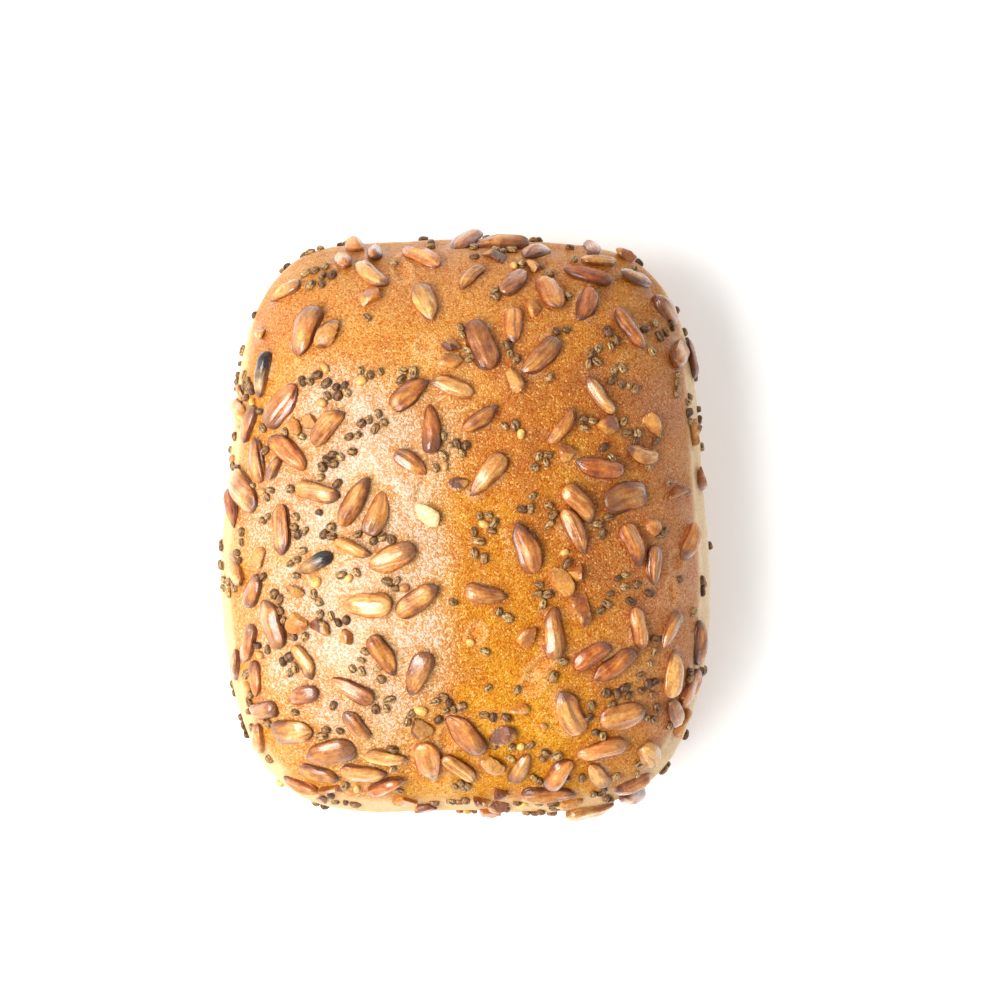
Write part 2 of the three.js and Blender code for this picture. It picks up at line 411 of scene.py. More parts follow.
def makeMottle():
    # Baked speckling: the surface is made of small granules. The gaps between them, partly
    # painted shade in these crevices, and some whole granules take the toasted colour; others
    # are pale, which on the crust are painted glints, and their tops stand up.
    group, given, gives = newGroup("bakedMottle", [
        ("Vector", "Vector"), ("Base", "Color"), ("Toasted", "Color"), ("Pale", "Color"),
        ("Scale", "Float", 2000.0), ("Amount", "Float", 0.5), ("Paleness", "Float", 0.0),
    ], [("Color", "Color"), ("Height", "Float")])
    granules = addNode(group, "TexVoronoi", {
        "Vector": given["Vector"], "Scale": given["Scale"]}).outputs
    patchy = noiseAt(group, given["Vector"], times(group, given["Scale"], 0.4), roughness=0.65)
    lot = addNode(group, "SeparateColor", {0: granules["Color"]}).outputs[0]
    gap = rescale(group, granules["Distance"], 0.3, 0.65, 0.0, 0.5)
    patch = rescale(group, patchy, 0.4, 0.65, 0.0, 0.3)
    whole = rescale(group, lot, 0.25, 0.1, 0.0, 0.6)
    share = plus(group, plus(group, gap, patch), whole, clamp=True)
    colour = blend(group, times(group, share, given["Amount"]), given["Base"], given["Toasted"])
    fair = rescale(group, plus(group, lot, given["Paleness"]), 0.87, 0.99)
    connect(group, gives, {
        "Color": blend(group, times(group, fair, given["Amount"]), colour, given["Pale"]),
        "Height": calculate(group, "SUBTRACT", times(group, lot, 0.6), granules["Distance"])})
    return group


def makeEggWash():
    # The glaze lies unevenly: where it is thick the surface is smooth and well coated.
    group, given, gives = newGroup("eggWash", [
        ("Vector", "Vector"), ("Scale", "Float", 60.0), ("Dry", "Float", 0.6),
        ("Wet", "Float", 0.35), ("Coat", "Float", 0.6),
    ], [("Roughness", "Float"), ("Coat Weight", "Float")])
    wet = rescale(group, noiseAt(group, given["Vector"], given["Scale"]), 0.35, 0.6)
    connect(group, gives, {
        "Roughness": rescale(group, wet, 0.0, 1.0, given["Dry"], given["Wet"]),
        "Coat Weight": times(group, wet, given["Coat"])})
    return group


bakedMottle, eggWash = makeMottle(), makeEggWash()


def useGroup(tree, group, inputs):
    return addNode(tree, "Group", inputs, node_tree=group).outputs


def dressSeed(tree, surface, place, colour, finish):
    # a seed's toasted speckles, whose height is for its bump, and its glaze if it has one
    speckle = useGroup(tree, bakedMottle, {
        "Vector": place, "Base": colour, "Toasted": filtered(tree, colour, finish["toasted"]),
        "Pale": colour, "Scale": finish["speckle"][0], "Amount": finish["speckle"][1]})
    connect(tree, surface, {"Base Color": speckle["Color"]})
    if "wash" in finish:
        wash = useGroup(tree, eggWash, {"Vector": place, **finish["wash"]})
        connect(tree, surface, {key: wash[key] for key in ("Roughness", "Coat Weight")})
    return speckle["Height"]


# the crust

crust = dict(
    cells=296,  # grid cells across, over crown and sides together
    dimple=0.16, dimpleWidth=2.6,  # the hollow each kernel lies in
    lip=0.2, lipWidth=0.55,  # and the glaze and dough drawn up round it
    pressReach=5, glazeWidth=0.8, seedShadeWidth=1.9,
    ripple=0.05,  # height of the small unevenness
    scars=24, scarDepth=0.3, scarRim=0.12,  # places where a kernel has come off
    scarLength=(3, 7), scarWidth=(2, 3.6), scarRoom=1.2,
    reliefEnds=(2.5, 3.05), footStarts=(2.5, 3.1),
    bare=0.42,  # how dark the crown baked, from 0 to 1
    footBake=0.62, footFlush=0.3,
    sidePale=(1.14, 1.33), sideBrown=(1.85, 2.95),  # falls where the pale band starts, ends
    farEnd=(20, 48), farEndBrowner=0.24,  # where and how much lower it starts
    paintedHighlightEdge=(0.15, 0.75),
    blotch=(95.0, 4.0, 0.55), blotchBake=0.18,  # scale, detail, roughness; and effect
    baked=[(0.0, 218, 176, 84), (0.25, 212, 160, 28), (0.45, 203, 144, 20),
           (0.65, 189, 125, 40), (0.85, 159, 103, 52), (1.0, 124, 80, 48)],
    flushShare=0.85, flush=(222, 168, 130),
    bandShare=0.95, band=[(0.3, 224, 186, 134), (0.7, 238, 208, 160)],
    flushedBand=(252, 234, 200),
    under=[(0.3, 186, 124, 72), (0.7, 214, 158, 98)],
    # glaze pooled round the seeds, its darker colour partly painted contact shade
    poolShare=0.5, pooledAndShaded=(226, 192, 140),
    scar=(0.6, 222, 158, 84), torn=(0.55, 238, 204, 150),
    driedShare=0.4, dried=(232, 206, 164),
    # the pale colour painted where the softbox's highlight falls
    paintedHighlight=(0.85, 192, 160, 125),
    toasted=(216, 150, 66), paintedHighlightToasted=(248, 208, 152),
    # colours of the pale granules, which are painted glints
    paintedGlint=(240, 190, 116), flushedGlint=(226, 172, 140), paintedHighlightGlint=(202, 178, 154),
    speckleScale=3400.0, bandSpeckle=0.35,  # and its share in the pale band
    freckleShare=0.6, freckle=(192, 124, 96),
    # painted glints on the dried glaze's wrinkles
    wrinkleGlint=(0.4, 232, 200, 140),
    coat=(0.03, 0.5),  # of the glaze, where it is clear and where the highlight is painted on
    wash=dict(Scale=120.0, Dry=0.42, Wet=0.3), bareRoughness=0.75,
)
bakeAndShadeSpots = [  # x, y, radius and how much darker it baked there; the spot at 30, -7 is painted shade round kernels
    (4, 51, 22, -0.1), (40, 36, 20, -0.04), (42, -12, 22, -0.05), (36, -44, 16, -0.03),
    (-46, -8, 20, 0.06), (-34, 40, 20, 0.04), (16, -2, 15, 0.2), (18, -34, 13, -0.04),
    (-4, -46, 14, -0.09), (-30, -40, 12, 0.02), (30, 22, 10, 0.2), (32, 6, 10, 0.1),
    (14, 12, 10, 0.08), (-6, -38, 8, 0.1), (24, 14, 22, 0.09), (32, -13, 14, 0.06),
    (16, 40, 14, 0.13), (32, 38, 10, 0.14), (8, 26, 9, 0.2), (32, -38, 9, 0.12),
    (30, -7, 7, 0.12), (-18, 38, 14, 0.1), (25, -22, 8, 0.08),
]
flushAndSheenSpots = [  # where it turns a duller, rosy brown, which on the top and right rims is partly a painted sheen of the pale room
    (-4, 58, 28, 0.6), (48, 24, 16, 0.85), (48, -8, 15, 1.1), (46, -36, 14, 0.9),
    (-30, 38, 14, 0.15), (34, -24, 12, 0.22),
]
paintedHighlightSpots = [  # where the softbox's broad highlight is painted on as a pale glaze
    (-14.5, -24, 12, 1.0), (-14.5, -5, 12, 0.95), (-34, 4, 14, 0.62), (-33, -21, 13, 0.6),
    (-19, 19, 12, 0.5), (-28, 24, 10, 0.3), (-6, 14, 10, 0.4), (-30, -41, 12, 0.32),
    (-16, -45, 11, 0.38), (0, 30, 12, 0.3), (-38, 37, 9, 0.22),
]


def spotSum(x, y, spots):
    # each spot fades out from its middle as a bell curve
    return sum(change * np.exp(-((x - left) ** 2 + (y - along) ** 2) / radius ** 2)
               for left, along, radius, change in spots)


def smooth(value, low, high):
    share = np.clip((value - low) / (high - low), 0, 1)
    return share * share * (3 - 2 * share)


def bell(distance, width):
    return np.exp(-(distance / width) ** 2)


def crustGrid(cells):
    # A square grid laid over crown and sides: the larger of the two grid coordinates says
    # how far out a point is, which gives its fall by equal steps of arc length, and the
    # ratio of the two gives its turn.
    steps, samples, diagonal = np.linspace(-1, 1, cells + 1), 800, 0.4
    u, v = np.meshgrid(steps, steps, indexing="ij")
    outward = np.maximum(np.abs(u), np.abs(v))
    flat = np.abs(u) >= np.abs(v)
    ratio = np.where(flat, v, u) / np.where(outward == 0, 1, np.where(flat, u, v))
    turn = np.where(flat, pi / 4 * ratio, pi / 2 - pi / 4 * ratio)
    turn = turn + np.where(np.where(flat, u, v) < 0, pi, 0)
    falls = np.linspace(0, pi, samples)
    section = crustPoint(np.full(samples, diagonal), falls)
    arc = np.concatenate([[0], np.cumsum(np.linalg.norm(np.diff(section, axis=0), axis=1))])
    return turn.ravel(), np.interp(outward.ravel(), arc / arc[-1], falls)


def seedDistance(points, piece):
    # how far points lie from a piece's rim, as if it were a stadium: below 0 inside it
    away = points - piece["at"]
    ahead = np.abs(away @ piece["ahead"])
    aside = away @ piece["across"]
    beyond = np.maximum(ahead - (piece["length"] - piece["width"]) / 2, 0)
    return np.hypot(beyond, aside) - 0.46 * piece["width"]


def pressSeeds(base):
    # Round each seed the crust sinks as a wide bell curve and rises as a narrow one at the
    # rim. Also how near a seed is, closely, and loosely for the shade it casts, from 0 to 1.
    c = crust
    relief, near, seedShade = np.zeros((3, len(base)))
    for group, kind in ((kernels, kernel), (chips, chip), (grains, grain)):
        strength = kind["press"]
        for piece in group:
            farthest = piece["length"] / 2 + c["pressReach"] * strength
            close = np.flatnonzero(np.linalg.norm(base - piece["at"], axis=1) < farthest)
            out = np.maximum(seedDistance(base[close], piece), 0)
            sunk = strength * c["dimple"] * bell(out, c["dimpleWidth"] * strength)
            risen = strength * c["lip"] * bell(out, c["lipWidth"])
            relief[close] += risen - sunk
            near[close] = np.maximum(near[close], strength * bell(out, c["glazeWidth"]))
            seedShade[close] = np.maximum(seedShade[close], strength * bell(out, c["seedShadeWidth"]))
    return relief, near, seedShade


def tearScars(base):
    # shallow pits as large as a kernel, with a torn rim raised round them
    c = crust
    pits, rims, relief = np.zeros((3, len(base)))
    for _ in range(c["scars"]):
        at, up, ahead = frameAt(2 * pi * look.random(), 1.2 * look.random() ** 0.6,
                                2 * pi * look.random())
        mark = dict(at=at, ahead=ahead, across=np.cross(up, ahead),
                    length=look.uniform(*c["scarLength"]), width=look.uniform(*c["scarWidth"]))
        if not isFree(at[None], c["scarRoom"]):
            continue
        gap = seedDistance(base, mark)
        pits = np.maximum(pits, 1 - smooth(gap, -0.5, 0.25))
        rim = bell(gap - 0.35, 0.35)
        rims = np.maximum(rims, rim)
        relief += c["scarRim"] * rim - c["scarDepth"] * (1 - smooth(gap, -0.8, 0.2))
    return relief, pits, rims


def smallRipples(x, y, z):
    # crossing waves of 6 to 17 mm, bent by others so that they don't repeat
    wide = np.sin(x / 1.9 + 1.4 * np.sin(y / 2.7))
    wide = wide * np.sin(y / 2.3 + 1.7 * np.sin(z / 3.1 + x / 3.7))
    return wide + 0.6 * np.sin(x / 0.9 + y / 1.3 + 2 * np.sin(x / 2.2))


def makeCrust(material):
    c = crust
    turn, fall = crustGrid(c["cells"])
    normals = crustNormal(turn, fall)
    normals[fall < 1e-6] = (0, 0, 1)  # the crown's middle
    base = crustPoint(turn, fall)
    x, y, z = base.T
    pressed, near, seedShade = pressSeeds(base)
    scarred, pits, rims = tearScars(base)
    relief = pressed + scarred + c["ripple"] * smallRipples(x, y, z)
    relief *= 1 - smooth(fall, *c["reliefEnds"])
    points = base + normals * relief[:, None]
    sides = c["cells"] + 1
    number = np.arange(sides ** 2).reshape(sides, sides)
    quads = np.stack([number[:-1, :-1], number[1:, :-1], number[1:, 1:], number[:-1, 1:]], -1)
    # the flat foot: rings drawn in from the grid's edge to one point in the middle
    rim = np.concatenate([number[:-1, 0], number[-1, :-1], number[:0:-1, -1], number[0, :0:-1]])
    count = len(rim)
    rings = [points[rim] * [share, share, 0] for share in (0.99, 0.96, 0.88, 0.7, 0.4)]
    loops = [rim] + [len(points) + ring * count + np.arange(count)
                     for ring in range(len(rings))]
    middle = len(points) + len(rings) * count
    bands = [np.stack([outer, inner, np.roll(inner, -1), np.roll(outer, -1)], -1)
             for outer, inner in zip(loops[:-1], loops[1:])]
    fan = np.stack([np.full(count, middle), np.roll(loops[-1], -1), loops[-1]], -1)
    points = np.concatenate([points, *rings, [[0, 0, 0]]])

    bake = np.clip(c["bare"] + spotSum(x, y, bakeAndShadeSpots), 0, 1)
    flush = np.clip(spotSum(x, y, flushAndSheenSpots), 0, 1)
    # the painted highlight, kept off where the seeds cast their shade
    paintedHighlight = smooth(spotSum(x, y, paintedHighlightSpots), *c["paintedHighlightEdge"]) * (1 - 0.5 * seedShade)
    lowered = fall - c["farEndBrowner"] * smooth(y, *c["farEnd"])
    sideBand = smooth(lowered, *c["sidePale"]) * (1 - smooth(fall, *c["sideBrown"]))
    wander = 0.06 * np.sin(3 * turn + 1) + 0.04 * np.sin(8 * turn)
    sideBand = smooth(sideBand + wander * sideBand * (1 - sideBand) * 4, 0, 1)
    shown = dict(  # each with its value on the foot
        bake=(bake, c["footBake"]), flush=(flush, c["footFlush"]), paintedHighlight=(paintedHighlight, 0),
        sideBand=(sideBand, 0), nearSeed=(near, 0), scar=(pits, 0), torn=(rims, 0),
        underside=(smooth(fall, *c["footStarts"]), 1))
    values = {label: np.append(value, np.full(len(points) - len(base), foot))
              for label, (value, foot) in shown.items()}
    makePiece("crust", points, [quads.reshape(-1, 4), *bands, fan], material, values)


def makeCrustMaterial():
    c = crust
    material, tree, surface, place = newMaterial("glazedCrust")
    blotch = noiseAt(tree, place, *c["blotch"])
    bake = plus(tree, readValue(tree, "bake"), swing(tree, blotch, c["blotchBake"]))
    flush = times(tree, readValue(tree, "flush"), c["flushShare"])
    colour = blend(tree, flush, ramp(tree, bake, c["baked"]), c["flush"])
    band = blend(tree, flush, ramp(tree, blotch, c["band"]), c["flushedBand"])
    sideBand, underside = readValue(tree, "sideBand"), readValue(tree, "underside")
    colour = blend(tree, times(tree, sideBand, c["bandShare"]), colour, band)
    colour = blend(tree, underside, colour, ramp(tree, blotch, c["under"]))
    # glaze pooled round the seeds, darker there, which is partly painted contact shade; and
    # dough bared where one came off
    nearSeed = readValue(tree, "nearSeed")
    pooling = times(tree, nearSeed, c["poolShare"])
    colour = blend(tree, pooling, colour, filtered(tree, colour, c["pooledAndShaded"]))
    colour = painted(tree, readValue(tree, "scar"), colour, c["scar"])
    colour = painted(tree, readValue(tree, "torn"), colour, c["torn"])
    smears = rescale(tree, noiseAt(tree, place, 160.0), 0.54, 0.66, 0.0, c["driedShare"])
    colour = blend(tree, times(tree, nearSeed, smears), colour, c["dried"])
    # the softbox's broad highlight, painted into the colour as a pale glaze, with its own
    # speckles
    paintedHighlight = readValue(tree, "paintedHighlight")
    colour = painted(tree, paintedHighlight, colour, c["paintedHighlight"])
    toasted = filtered(tree, colour, blend(tree, paintedHighlight, c["toasted"], c["paintedHighlightToasted"]))
    # pale granules as painted glints of highlight, paler still in the painted highlight
    paintedGlint = blend(tree, 0.5, colour, blend(tree, flush, c["paintedGlint"], c["flushedGlint"]))
    paintedGlint = blend(tree, rescale(tree, paintedHighlight, 0.1, 0.8), paintedGlint, c["paintedHighlightGlint"])
    speckle = useGroup(tree, bakedMottle, {
        "Vector": place, "Base": colour, "Toasted": toasted, "Pale": paintedGlint,
        "Scale": c["speckleScale"], "Paleness": times(tree, paintedHighlight, 0.5),
        "Amount": rescale(tree, sideBand, 0.0, 1.0, 1.0, c["bandSpeckle"])})
    # dark pores where the crust is browner
    pores = addNode(tree, "TexVoronoi", {"Vector": place, "Scale": 900.0})
    freckle = times(tree, rescale(tree, pores.outputs["Distance"], 0.2, 0.1),
                    rescale(tree, blotch, 0.45, 0.62, 0.0, c["freckleShare"]))
    colour = blend(tree, freckle, speckle["Color"],
                   filtered(tree, speckle["Color"], c["freckle"]))
    # thin pale lines on the wrinkles of the dried glaze, in places: painted glints
    folds = addNode(tree, "TexNoise", {
        "Vector": place, "Scale": 620.0, "Detail": 1.0, "Distortion": 0.6}).outputs["Fac"]
    folds = calculate(tree, "ABSOLUTE", calculate(tree, "SUBTRACT", folds, 0.5))
    wrinkleGlint = times(tree, rescale(tree, folds, 0.024, 0.006), rescale(tree, blotch, 0.46, 0.36))
    colour = painted(tree, wrinkleGlint, colour, c["wrinkleGlint"])

    # the glaze is clear and thin, thicker under the painted highlight or where pooled, and off
    # the sides
    thickness = calculate(tree, "MAXIMUM", rescale(tree, paintedHighlight, 0.0, 0.8, *c["coat"]), pooling)
    wash = useGroup(tree, eggWash, {"Vector": place, "Coat": thickness, **c["wash"]})
    unglazed = plus(tree, sideBand, underside, clamp=True)
    roughness = addNode(tree, "Mix", {
        0: times(tree, unglazed, 0.7), 2: wash["Roughness"], 3: c["bareRoughness"]})
    glazed = times(tree, wash["Coat Weight"], rescale(tree, unglazed, 0.0, 1.0, 1.0, 0.1))
    uneven = bump(tree, noiseAt(tree, place, 420.0), 0.4, 0.3)
    connect(tree, surface, {
        "Base Color": colour, "Roughness": roughness.outputs[0], "Coat Weight": glazed,
        "Coat Roughness": 0.2, "Specular IOR Level": 0.15,
        "Normal": bump(tree, speckle["Height"], 1.0, 0.11, uneven)})
    return material


makeCrust(makeCrustMaterial())
print("crust made")


# closed drops laid in rows: kernels, chips and small seeds

def dropFaces(rows, columns, copies):
    # a pole, rings of points and a pole, for each copy in turn
    ring = 1 + np.arange(rows * columns).reshape(rows, columns)
    ahead = np.roll(ring, -1, axis=1)
    quads = np.stack([ring[:-1], ahead[:-1], ahead[1:], ring[1:]], -1).reshape(-1, 4)
    last = rows * columns + 1
    caps = np.concatenate([
        np.stack([np.zeros(columns, int), ahead[0], ring[0]], -1),
        np.stack([np.full(columns, last), ring[-1], ahead[-1]], -1)])
    shift = (np.arange(copies) * (last + 1))[:, None, None]
    return (quads + shift).reshape(-1, 4), (caps + shift).reshape(-1, 3)


def ringGrid(rows, columns):
    # stations from -1 to 1, closer together towards the tips, with one point at each pole
    station = -np.cos(pi * np.arange(1, rows + 1) / (rows + 1))
    turn = 2 * pi * np.arange(columns) / columns
    stations = np.concatenate([[-1], np.repeat(station, columns), [1]])
    return stations, np.concatenate([[0], np.tile(turn, rows), [0]])


def perPiece(pieces, key):
    return np.array([piece[key] for piece in pieces])[:, None]


def stood(pieces, kind, ahead, aside, above):
    # puts local lengths along, across and above each piece into the roll's frame
    return (perPiece(pieces, "at") + perPiece(pieces, "up") * kind["lift"]
            + perPiece(pieces, "ahead") * ahead[..., None]
            + perPiece(pieces, "across") * aside[..., None]
            + perPiece(pieces, "above") * above[..., None])


def makeDrops(name, shape, points, material, values, uv=None, rounded=True):
    # points are rows of one piece each, and a value is one for each piece or point
    count, each = points.shape[:2]
    values = {label: np.broadcast_to(value, (count, each)) for label, value in values.items()}
    faces = dropFaces(shape["rows"], shape["columns"], count)
    makePiece(name, points.reshape(-1, 3), faces, material, values, uv, rounded)


kernelShape = dict(
    rows=17, columns=24,
    widest=(-0.4, 0.0),  # station of the widest section, of -1 behind to 1 in front
    heel=(2.7, 4.0), heelBelow=(2.4, 3.2),  # how blunt behind, from above and aside
    nose=(2.3, 3.4), taper=(0.64, 1.0),  # how convex and drawn out in front
    blunt=0.42,  # share without a drawn-out point
    breadth=(0.9, 1.14), bend=0.45, arch=(-0.15, 0.2), beak=0.5, twist=0.35,
    ridges=0.04,  # height of the lengthwise ridges, as a share of the girth
    ridgeCount=(4, 7.9),
    seam=0.07,  # depth of the seam between the two halves
    shrunk=0.25,  # share of kernels that dried thin and furrowed
    split=0.16,  # share whose halves gape at the point
    creased=0.2,  # share with a furrow along the top
    charred=[(-34, 33), (-27, -4)],  # the kernels nearest to these places are burnt black
    toast=(0.52, 0.18),  # how unevenly and how much they baked
    streak=(3.4, 0.8), streakToast=0.24, blotchToast=0.26, sideToastAndShade=(-0.08, 0.42),
    pointToast=0.3,
    baked=[(0.0, 237, 193, 118), (0.3, 213, 158, 78), (0.6, 180, 115, 48),
           (0.85, 143, 81, 33), (1.0, 100, 58, 30)],
    tints=[(0.0, 255, 216, 176), (0.3, 255, 255, 255), (0.6, 255, 255, 255),
           (1.0, 242, 214, 196)],  # some are more orange, others more purple
    # the furrow colour is painted shade in the grooves
    scorched=(0.75, 106, 66, 46), furrowShade=(0.5, 132, 74, 34), soot=(40, 32, 32),
    toasted=(214, 178, 148), speckle=(2200.0, 0.7),
    wash=dict(Scale=260.0, Dry=0.42, Wet=0.24, Coat=1.0),
)


def dropGirth(station, blunt, drawnOut, widest, taper):
    # A drop's half breadth at stations from -1 to 1: a superellipse behind the widest
    # station, and in front of it a convex taper to the point.
    behind = np.clip((widest - station) / (1 + widest), 0, 1)
    front = np.clip((station - widest) / (1 - widest), 0, 1)
    return (1 - behind ** blunt) ** 0.5 * (1 - front ** drawnOut) ** taper


def flatSides(turn, facing, distance, sharpness):
    # How far a section with a few flat sides reaches at each turn: as far as the nearest
    # side, or a circle just outside them, with the edges between them rounded off.
    circle = 1.12
    shares = [np.clip(np.cos(turn - way), 0, None) / far for way, far in zip(facing, distance)]
    nearness = sum(share ** sharpness for share in shares) + circle ** -sharpness
    return nearness ** (-1 / sharpness)


def kernelToast(at, count):
    # those at the far end and from the left flank rightwards come out darker, those near the
    # right corner lighter
    uneven, least = kernelShape["toast"]
    x, y = at[:, :1], at[:, 1:2]
    toast = look.random((count, 1)) * uneven + least
    toast += 0.05 * smooth(y, 12, 50) + 0.14 * smooth(x, -28, 4) - 0.12
    return toast - 0.22 * np.exp(-((x - 28) ** 2 + (y + 40) ** 2) / 20 ** 2)


def makeKernels(material):
    # A drop that is blunt behind and pointed in front. The section is flattened, with a few
    # flat sides whose edges run from end to end, lengthwise ridges, a seam at both sides,
    # and a slight bend and twist of its own.
    shape = kernelShape
    station, turn = ringGrid(shape["rows"], shape["columns"])
    count = len(kernels)

    def pick(low, high):
        return look.uniform(low, high, (count, 1))

    def chosen(share):
        return (look.random((count, 1)) < share) * 1.0

    dried, gaping = chosen(shape["shrunk"]), chosen(shape["split"])
    creased, blunt = chosen(shape["creased"]), chosen(shape["blunt"])
    s, t = station[None], turn[None] + pick(-shape["twist"], shape["twist"]) * station[None]
    widest = pick(*shape["widest"])
    taper = pick(*shape["taper"]) - 0.2 * blunt
    girth = dropGirth(s, pick(*shape["heel"]), pick(*shape["nose"]) + 0.8 * blunt,
                      widest, taper)
    depth = dropGirth(s, pick(*shape["heelBelow"]), pick(*shape["nose"]), widest, taper)
    waves = pick(*shape["ridgeCount"]).round() * t + pick(0, 6.3) + pick(-1, 1) * s
    ridge = shape["ridges"] * (1 + 1.5 * dried) * np.cos(waves)
    valley = np.clip(-ridge / shape["ridges"] / 2, 0, 1)
    ridge = (ridge + 0.06 * np.sin(2.8 * s + pick(0, 6.3) + 2 * t)
             + 0.035 * np.sin(5.5 * s + pick(0, 6.3) - t))
    seam = shape["seam"] * bell(np.sin(t), 0.2)
    middle = bell(np.cos(t + pick(-0.4, 0.4)), 0.22)
    gape = 0.3 * gaping * middle * smooth(s, -0.2, 0.7) + 0.2 * creased * middle * (1 - s * s)
    edgeTurn = t + pick(-0.3, 0.3) * s * s
    facing = [pi / 2 - pick(0.35, 1.0), pi / 2 + pick(0.35, 1.0), pick(-0.35, 0.15),
              pi + pick(-0.15, 0.35), 1.5 * pi]
    distance = [pick(0.78, 0.98), pick(0.78, 0.98), pick(0.86, 1), pick(0.86, 1), 0.95]
    swell = (1 + ridge - seam - gape) * flatSides(edgeTurn, facing, distance, pick(9, 26))
    length, width = perPiece(kernels, "length"), perPiece(kernels, "width")
    thickness = kernel["thickness"] * perPiece(kernels, "scale") * (1 - 0.2 * dried)
    bow = 1 - s * s
    beak = pick(-shape["beak"], shape["beak"]) * smooth(s, 0.3, 1.0) ** 2
    aside = (width / 2 * pick(*shape["breadth"]) * girth * swell * np.cos(t)
             + pick(-shape["bend"], shape["bend"]) * bow + beak)
    above = thickness / 2 * depth * swell * np.sin(t) + pick(*shape["arch"]) * bow
    ahead = length / 2 * (s + 0.03 * gaping * np.cos(2 * t) * smooth(s, 0.5, 1))
    points = stood(kernels, kernel, ahead, aside, above)
    at = perPiece(kernels, "at")[:, 0]
    toast = kernelToast(at, count)
    charred = np.zeros((count, 1))
    for spot in shape["charred"]:
        charred[np.argmin(np.linalg.norm(at[:, :2] - spot, axis=1))] = 1
    values = dict(toast=np.clip(toast, 0, 1), along=s, crest=np.sin(t),
                  tint=look.random((count, 1)), burnt=look.random((count, 1)), charred=charred,
                  furrowShade=np.clip(0.7 * seam / shape["seam"] + gape * 3 + 0.6 * valley, 0, 1))
    uv = np.stack([turn[None] / (2 * pi) * 3 + pick(0, 50), s + pick(0, 50)], -1)
    makeDrops("sunflowerKernels", shape, points, material, values, uv)


def makeKernelMaterial():
    shape = kernelShape
    material, tree, surface, place = newMaterial("toastedKernel")
    streak = skinNoise(tree, shape["streak"], scale=1.4, detail=2.0, roughness=0.5)
    blotch = noiseAt(tree, place, 330.0, roughness=0.6)
    along, burnt = readValue(tree, "along"), readValue(tree, "burnt")
    # browner down the sides, partly painted shade towards the crust, in the streaks, and
    # towards the point
    toast = readValue(tree, "toast")
    for more in (swing(tree, streak, shape["streakToast"]),
                 swing(tree, blotch, shape["blotchToast"]),
                 rescale(tree, readValue(tree, "crest"), 0.9, 0.1, *shape["sideToastAndShade"]),
                 rescale(tree, along, 0.6, 1.0, 0.0, shape["pointToast"])):
        toast = plus(tree, toast, more)
    tint = ramp(tree, readValue(tree, "tint"), shape["tints"])
    colour = filtered(tree, ramp(tree, toast, shape["baked"]), tint)
    # some have a scorched point, others a grey-brown blunt end
    wavering = plus(tree, along, swing(tree, blotch, 0.3))
    point = times(tree, rescale(tree, burnt, 0.3, 0.5), rescale(tree, wavering, 0.62, 0.9))
    heel = times(tree, rescale(tree, burnt, 0.5, 0.25), rescale(tree, wavering, -0.1, -0.8))
    ends = calculate(tree, "MAXIMUM", point, heel)
    colour = painted(tree, ends, colour, shape["scorched"])
    # painted shade in the seam, in a gape and between the ridges
    colour = painted(tree, readValue(tree, "furrowShade"), colour, shape["furrowShade"])
    soot = times(tree, readValue(tree, "charred"), rescale(tree, wavering, 0.5, -0.3, 0.3, 1.0))
    colour = blend(tree, soot, colour, shape["soot"])
    height = dressSeed(tree, surface, place, colour, shape)
    connect(tree, surface, {
        "Coat Roughness": 0.13, "Coat IOR": 1.55,
        # light sinks about a millimetre into a kernel, and comes out redder
        "Subsurface Weight": 0.35, "Subsurface Radius": (1.0, 0.5, 0.22),
        "Subsurface Scale": 1.5 * mm,
        "Normal": bump(tree, streak, 0.8, 0.5, bump(tree, height, 0.3, 0.1))})
    return material


makeKernels(makeKernelMaterial())
print("sunflower kernels made")


chipShape = dict(
    rows=13, columns=20,
    cuts=7, sharpness=60, cutAt=(0.35, 0.8),
    grown=1.25,  # makes up for what the cuts take off
    flake=(-12.5, 5),  # the chip nearest to this place stayed white
    toast=(0.3, 1.05), blotchToast=0.2,
    baked=[(0.0, 216, 152, 64), (0.4, 188, 116, 42), (0.7, 150, 84, 34), (1.0, 106, 58, 32)],
    fresh=(0.6, 226, 170, 84), blanched=(244, 226, 168),
    toasted=(206, 158, 124), speckle=(2000.0, 0.7),
    wash=dict(Scale=300.0, Dry=0.5, Wet=0.32, Coat=0.8),
)


def makeChips(material):
    # A broken piece: in each direction it reaches as far as the nearest of a few flat
    # cuts, each at its own distance, with the edges between them rounded off.
    shape = chipShape
    station, turn = ringGrid(shape["rows"], shape["columns"])
    level = np.sqrt(np.clip(1 - station ** 2, 0, None))
    ways = np.stack([station, level * np.cos(turn), level * np.sin(turn)], -1)
    count = len(chips)
    cuts = unit(look.normal(size=(count, shape["cuts"], 3)) * [1, 1, 0.9])
    distance = look.uniform(*shape["cutAt"], (count, shape["cuts"], 1))
    share = np.clip(cuts @ ways.T, 0, None) / distance
    reach = (np.sum(share ** shape["sharpness"], axis=1) + 0.5) ** (-1 / shape["sharpness"])
    local = ways[None] * reach[..., None] * shape["grown"] / 2
    fresh = np.argmax(share, axis=1) % 3 == 0  # a third of the cuts bared the inside
    points = stood(chips, chip, local[..., 0] * perPiece(chips, "length"),
                   local[..., 1] * perPiece(chips, "width"),
                   local[..., 2] * chip["thickness"] * perPiece(chips, "scale"))
    toFlake = np.linalg.norm(perPiece(chips, "at")[:, 0, :2] - shape["flake"], axis=1)
    values = dict(toast=look.uniform(*shape["toast"], (count, 1)), fresh=fresh,
                  blanched=(toFlake == toFlake.min())[:, None])
    makeDrops("kernelChips", shape, points, material, values, rounded=False)


